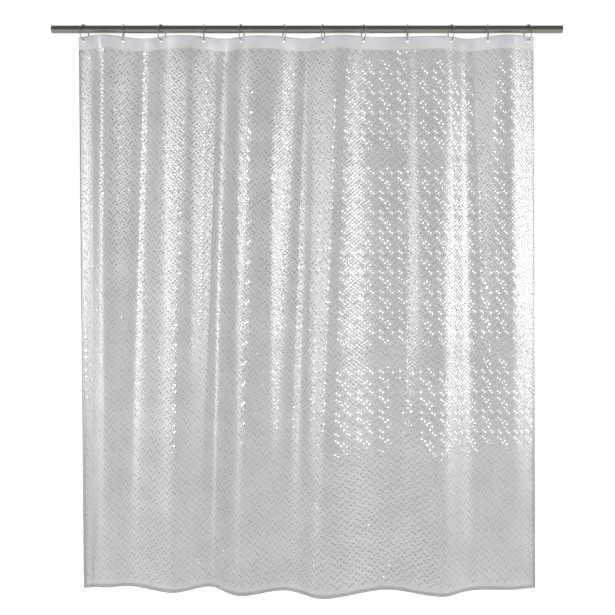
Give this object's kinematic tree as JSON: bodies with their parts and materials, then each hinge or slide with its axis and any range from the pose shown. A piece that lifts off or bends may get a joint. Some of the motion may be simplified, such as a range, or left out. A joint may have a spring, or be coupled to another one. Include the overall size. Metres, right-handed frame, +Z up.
{
  "type": "shower curtain",
  "caption": "Translucent embossed plastic shower curtain with welded hems, hung by open wire rings from a straight steel tube; the rings slide along it and the curtain bunches to one end.",
  "frame": {"origin": "centre of the tube's left end, on the tube's axis", "axes": "+X along the tube to the right, +Z up, -Y towards the room, the side that the picture shows"},
  "size_m": [1.8397, 0.1094, 2.0444],
  "materials": {
    "tube_steel": "satin",
    "ring_wire": "gloss",
    "curtain_film": "gloss",
    "welded_hem": "gloss"
  },
  "bodies": {
    "rod": {"rod_tube": "tube_steel"},
    "curtain": {"curtain_sheet": "curtain_film", "top_hem": "welded_hem", "bottom_hem": "welded_hem", "side_hem_left": "welded_hem", "side_hem_right": "welded_hem"},
    "ring_01": {"ring_01": "ring_wire"},
    "ring_02": {"ring_02": "ring_wire"},
    "ring_03": {"ring_03": "ring_wire"},
    "ring_04": {"ring_04": "ring_wire"},
    "ring_05": {"ring_05": "ring_wire"},
    "ring_06": {"ring_06": "ring_wire"},
    "ring_07": {"ring_07": "ring_wire"},
    "ring_08": {"ring_08": "ring_wire"},
    "ring_09": {"ring_09": "ring_wire"},
    "ring_10": {"ring_10": "ring_wire"},
    "ring_11": {"ring_11": "ring_wire"},
    "ring_12": {"ring_12": "ring_wire"}
  },
  "joints": [
    {"name": "curtain_swing", "type": "hinge", "parent": "rod", "child": "curtain", "pos_m": [0.91985, 0, 0], "axis": [1, 0, 0], "range_deg": [-12, 12]},
    {"name": "ring_01_slide", "type": "slide", "parent": "curtain", "child": "ring_01", "axis": [-1, 0, 0], "range_m": [0, 0.08724]},
    {"name": "ring_02_slide", "type": "slide", "parent": "curtain", "child": "ring_02", "axis": [-1, 0, 0], "range_m": [0, 0.19296]},
    {"name": "ring_03_slide", "type": "slide", "parent": "curtain", "child": "ring_03", "axis": [-1, 0, 0], "range_m": [0, 0.29653]},
    {"name": "ring_04_slide", "type": "slide", "parent": "curtain", "child": "ring_04", "axis": [-1, 0, 0], "range_m": [0, 0.41049]},
    {"name": "ring_05_slide", "type": "slide", "parent": "curtain", "child": "ring_05", "axis": [-1, 0, 0], "range_m": [0, 0.5125]},
    {"name": "ring_06_slide", "type": "slide", "parent": "curtain", "child": "ring_06", "axis": [-1, 0, 0], "range_m": [0, 0.62801]},
    {"name": "ring_07_slide", "type": "slide", "parent": "curtain", "child": "ring_07", "axis": [-1, 0, 0], "range_m": [0, 0.73301]},
    {"name": "ring_08_slide", "type": "slide", "parent": "curtain", "child": "ring_08", "axis": [-1, 0, 0], "range_m": [0, 0.84255]},
    {"name": "ring_09_slide", "type": "slide", "parent": "curtain", "child": "ring_09", "axis": [-1, 0, 0], "range_m": [0, 0.96105]},
    {"name": "ring_10_slide", "type": "slide", "parent": "curtain", "child": "ring_10", "axis": [-1, 0, 0], "range_m": [0, 1.07955]},
    {"name": "ring_11_slide", "type": "slide", "parent": "curtain", "child": "ring_11", "axis": [-1, 0, 0], "range_m": [0, 1.17929]},
    {"name": "curtain_draw", "type": "slide", "parent": "curtain", "child": "ring_12", "axis": [-1, 0, 0], "range_m": [0, 1.28728], "deforming": ["curtain_sheet", "top_hem", "bottom_hem", "side_hem_left", "side_hem_right"]}
  ],
  "couplings": [
    {"joint": "ring_01_slide", "follows": "curtain_draw", "ratio": 0.067771},
    {"joint": "ring_02_slide", "follows": "curtain_draw", "ratio": 0.1499},
    {"joint": "ring_03_slide", "follows": "curtain_draw", "ratio": 0.23035},
    {"joint": "ring_04_slide", "follows": "curtain_draw", "ratio": 0.31888},
    {"joint": "ring_05_slide", "follows": "curtain_draw", "ratio": 0.39812},
    {"joint": "ring_06_slide", "follows": "curtain_draw", "ratio": 0.48786},
    {"joint": "ring_07_slide", "follows": "curtain_draw", "ratio": 0.56943},
    {"joint": "ring_08_slide", "follows": "curtain_draw", "ratio": 0.65452},
    {"joint": "ring_09_slide", "follows": "curtain_draw", "ratio": 0.74657},
    {"joint": "ring_10_slide", "follows": "curtain_draw", "ratio": 0.83863},
    {"joint": "ring_11_slide", "follows": "curtain_draw", "ratio": 0.91611}
  ]
}
